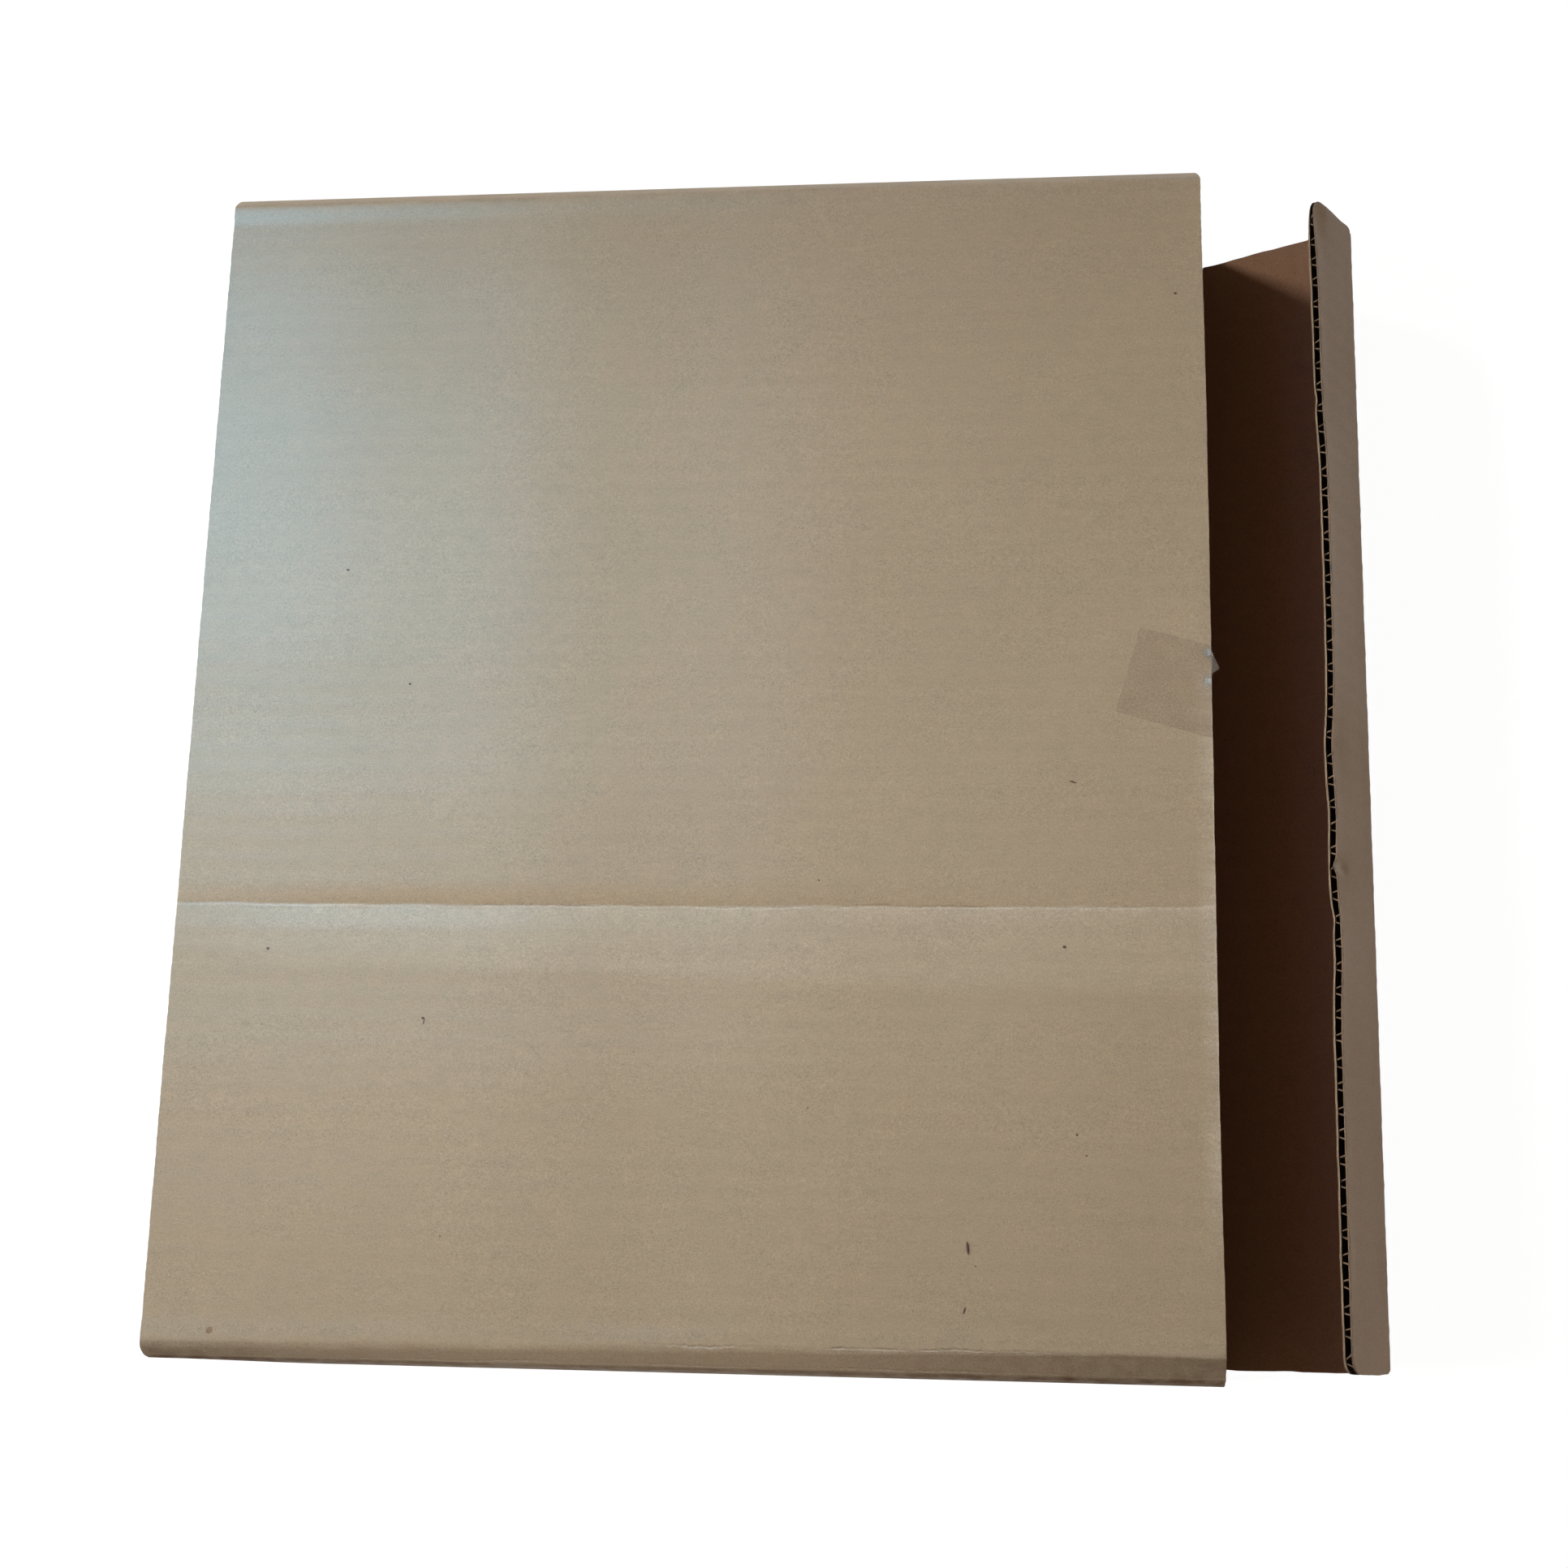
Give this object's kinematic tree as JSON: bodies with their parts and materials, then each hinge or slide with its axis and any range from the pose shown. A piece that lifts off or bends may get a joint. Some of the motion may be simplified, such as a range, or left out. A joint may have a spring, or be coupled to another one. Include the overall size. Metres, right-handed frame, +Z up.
{
  "type": "tuck-end corrugated carton",
  "caption": "Shallow plain kraft carton of single-wall corrugated board, lying flat, with its tuck-end lid half open.",
  "frame": {"origin": "middle of the bottom panel's outer face, under the middle of the top panel", "axes": "+X along the flutes, out of the open end; +Y from the front wall to the back wall; +Z up"},
  "size_m": [0.3385, 0.3464, 0.0551],
  "materials": {
    "kraft_board": "matt brown kraft liner with faint lines along the flutes",
    "tape_film": "clear packing film, browned by its adhesive"
  },
  "bodies": {
    "carton": {"box_body": "kraft_board", "tape_remnant": "tape_film"},
    "lid": {"end_lid": "kraft_board"},
    "tab": {"tuck_tab": "kraft_board"}
  },
  "joints": [
    {"name": "lid_fold", "type": "hinge", "parent": "carton", "child": "lid", "pos_m": [0.1496, -0.0019, 0.003], "axis": [0, -1, 0], "range_deg": [-29.4, 60.6]},
    {"name": "tab_fold", "type": "hinge", "parent": "lid", "child": "tab", "pos_m": [0.18933, -0.0019, 0.02539], "axis": [0, -1, 0], "range_deg": [-16.17, 33.33]}
  ],
  "couplings": [
    {"joint": "tab_fold", "follows": "lid_fold", "ratio": 0.55}
  ]
}
